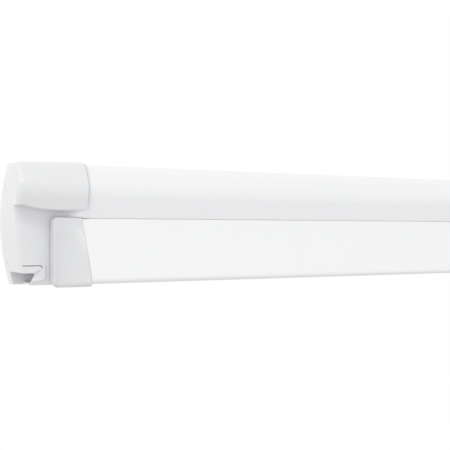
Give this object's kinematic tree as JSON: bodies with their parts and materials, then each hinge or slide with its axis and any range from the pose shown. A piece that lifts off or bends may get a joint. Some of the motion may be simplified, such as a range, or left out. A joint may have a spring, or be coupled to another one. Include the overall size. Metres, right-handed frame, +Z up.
{
  "type": "roll out awning",
  "caption": "Wall-mounted cassette awning with a winch, a roller canopy, folding arms, a lead rail and telescopic support legs.",
  "frame": {"origin": "centre of the rectangle of wall bolts, on the wall's surface", "axes": "+X along the awning with the winch at -X, +Y into the wall, so the awning opens towards -Y, +Z up"},
  "size_m": [2.6, 0.1202, 0.129],
  "materials": {
    "white_aluminium": "satin white powder coat",
    "white_plastic": "white moulded plastic, slightly glossy",
    "grey_rubber": "pale grey seal",
    "zinc_steel": "zinc plated steel",
    "painted_steel": "steel screws with heads painted white",
    "cast_alloy": "die-cast, powder coated white",
    "bare_aluminium": "mill finish",
    "brass": "machined",
    "nylon": "black moulded nylon",
    "canopy_cloth": "coated grey awning cloth, matt"
  },
  "bodies": {
    "root": {"cassette_profile": "white_aluminium", "wall_brackets": "bare_aluminium", "bracket_screws": "zinc_steel", "left_end_bracket": "cast_alloy", "right_end_bracket": "cast_alloy", "end_bracket_screws": "zinc_steel", "left_end_cap": "white_plastic", "right_end_cap": "white_plastic", "cap_gaskets": "grey_rubber", "end_cap_screws": "painted_steel", "gearbox_housing": "nylon", "left_shoulder_bracket": "cast_alloy", "right_shoulder_bracket": "cast_alloy", "shoulder_bolts": "zinc_steel", "shoulder_pins": "zinc_steel", "roller_bushes": "nylon"},
    "roller": {"roller_tube": "bare_aluminium", "roller_drive_plug": "nylon", "roller_idler_plug": "nylon", "worm_wheel": "brass", "canopy_roll": "canopy_cloth"},
    "winch": {"worm_shaft": "zinc_steel", "winch_socket": "zinc_steel"},
    "canopy_hem": {"canopy_front": "canopy_cloth"},
    "lead_rail": {"lead_rail": "white_aluminium", "left_rail_cap": "white_plastic", "right_rail_cap": "white_plastic", "left_wrist_bracket": "cast_alloy", "right_wrist_bracket": "cast_alloy", "wrist_pins": "zinc_steel", "canopy_keder": "canopy_cloth", "leg_brackets": "cast_alloy", "leg_pins": "zinc_steel", "leg_clips": "nylon"},
    "left_upper_arm": {"left_upper_arm": "white_aluminium", "left_shoulder_knuckle": "cast_alloy", "left_elbow_knuckle": "cast_alloy", "left_arm_spring": "zinc_steel", "left_arm_cable": "zinc_steel", "left_elbow_pin": "zinc_steel"},
    "left_forearm": {"left_forearm": "white_aluminium", "left_elbow_fork": "cast_alloy", "left_wrist_knuckle": "cast_alloy"},
    "left_leg": {"left_leg_tube": "bare_aluminium"},
    "left_leg_slide": {"left_leg_slide": "bare_aluminium"},
    "left_foot": {"left_leg_foot": "nylon"},
    "left_clamp": {"left_leg_lever": "nylon"},
    "right_upper_arm": {"right_upper_arm": "white_aluminium", "right_shoulder_knuckle": "cast_alloy", "right_elbow_knuckle": "cast_alloy", "right_arm_spring": "zinc_steel", "right_arm_cable": "zinc_steel", "right_elbow_pin": "zinc_steel"},
    "right_forearm": {"right_forearm": "white_aluminium", "right_elbow_fork": "cast_alloy", "right_wrist_knuckle": "cast_alloy"},
    "right_leg": {"right_leg_tube": "bare_aluminium"},
    "right_leg_slide": {"right_leg_slide": "bare_aluminium"},
    "right_foot": {"right_leg_foot": "nylon"},
    "right_clamp": {"right_leg_lever": "nylon"}
  },
  "joints": [
    {"name": "left_shoulder", "type": "hinge", "parent": "root", "child": "left_upper_arm", "pos_m": [-1.19, -0.025, -0.034], "axis": [0, 0.0872, -0.9962], "range_deg": [0, 68]},
    {"name": "left_elbow", "type": "hinge", "parent": "left_upper_arm", "child": "left_forearm", "pos_m": [-0.11, -0.04094, -0.03539], "axis": [0, -0.0872, 0.9962], "range_deg": [0, 136]},
    {"name": "left_wrist", "type": "hinge", "parent": "left_forearm", "child": "lead_rail", "pos_m": [-1.19, -0.05688, -0.03679], "axis": [0, 0.0872, -0.9962], "range_deg": [0, 68]},
    {"name": "right_shoulder", "type": "hinge", "parent": "root", "child": "right_upper_arm", "pos_m": [1.19, -0.025, -0.034], "axis": [0, -0.0872, 0.9962], "range_deg": [0, 68]},
    {"name": "right_elbow", "type": "hinge", "parent": "right_upper_arm", "child": "right_forearm", "pos_m": [0.11, -0.04094, -0.03539], "axis": [0, 0.0872, -0.9962], "range_deg": [0, 136]},
    {"name": "canopy_pull", "type": "slide", "parent": "root", "child": "canopy_hem", "axis": [0, -0.9962, -0.0872], "range_m": [0, 1.9837], "deforming": ["canopy_front"]},
    {"name": "roller_spin", "type": "hinge", "parent": "root", "child": "roller", "pos_m": [-1.284, -0.0435, 0.022], "axis": [1, 0, 0], "range_deg": [0, 3745.9]},
    {"name": "winch_turn", "type": "hinge", "parent": "root", "child": "winch", "pos_m": [-1.284, -0.0597, 0.022], "axis": [0, 0, 1], "range_deg": [0, 52442.2]},
    {"name": "left_leg_swing", "type": "hinge", "parent": "lead_rail", "child": "left_leg", "pos_m": [-1.19, -0.082, -0.052], "axis": [0, 1, 0], "range_deg": [0, 90]},
    {"name": "left_leg_extend", "type": "slide", "parent": "left_leg", "child": "left_leg_slide", "axis": [1, 0, 0], "range_m": [0, 1]},
    {"name": "left_foot_fold", "type": "hinge", "parent": "left_leg_slide", "child": "left_foot", "pos_m": [-0.034, -0.082, -0.052], "axis": [0, 1, 0], "range_deg": [0, 90]},
    {"name": "left_leg_clamp", "type": "hinge", "parent": "left_leg", "child": "left_clamp", "pos_m": [-0.057, -0.082, -0.06045], "axis": [0, -1, 0], "range_deg": [0, 100]},
    {"name": "right_leg_swing", "type": "hinge", "parent": "lead_rail", "child": "right_leg", "pos_m": [1.19, -0.097, -0.052], "axis": [0, -1, 0], "range_deg": [0, 90]},
    {"name": "right_leg_extend", "type": "slide", "parent": "right_leg", "child": "right_leg_slide", "axis": [-1, 0, 0], "range_m": [0, 1]},
    {"name": "right_foot_fold", "type": "hinge", "parent": "right_leg_slide", "child": "right_foot", "pos_m": [0.034, -0.097, -0.052], "axis": [0, -1, 0], "range_deg": [0, 90]},
    {"name": "right_leg_clamp", "type": "hinge", "parent": "right_leg", "child": "right_clamp", "pos_m": [0.057, -0.097, -0.06045], "axis": [0, 1, 0], "range_deg": [0, 100]}
  ],
  "couplings": [
    {"joint": "left_elbow", "follows": "left_shoulder", "ratio": 2},
    {"joint": "left_wrist", "follows": "left_shoulder", "ratio": 1},
    {"joint": "right_shoulder", "follows": "left_shoulder", "ratio": 1},
    {"joint": "right_elbow", "follows": "left_shoulder", "ratio": 2},
    {"joint": "canopy_pull", "follows": "left_shoulder", "m_per_rad": 1.6706},
    {"joint": "roller_spin", "follows": "left_shoulder", "ratio": 55.059},
    {"joint": "winch_turn", "follows": "left_shoulder", "ratio": 770.82}
  ]
}
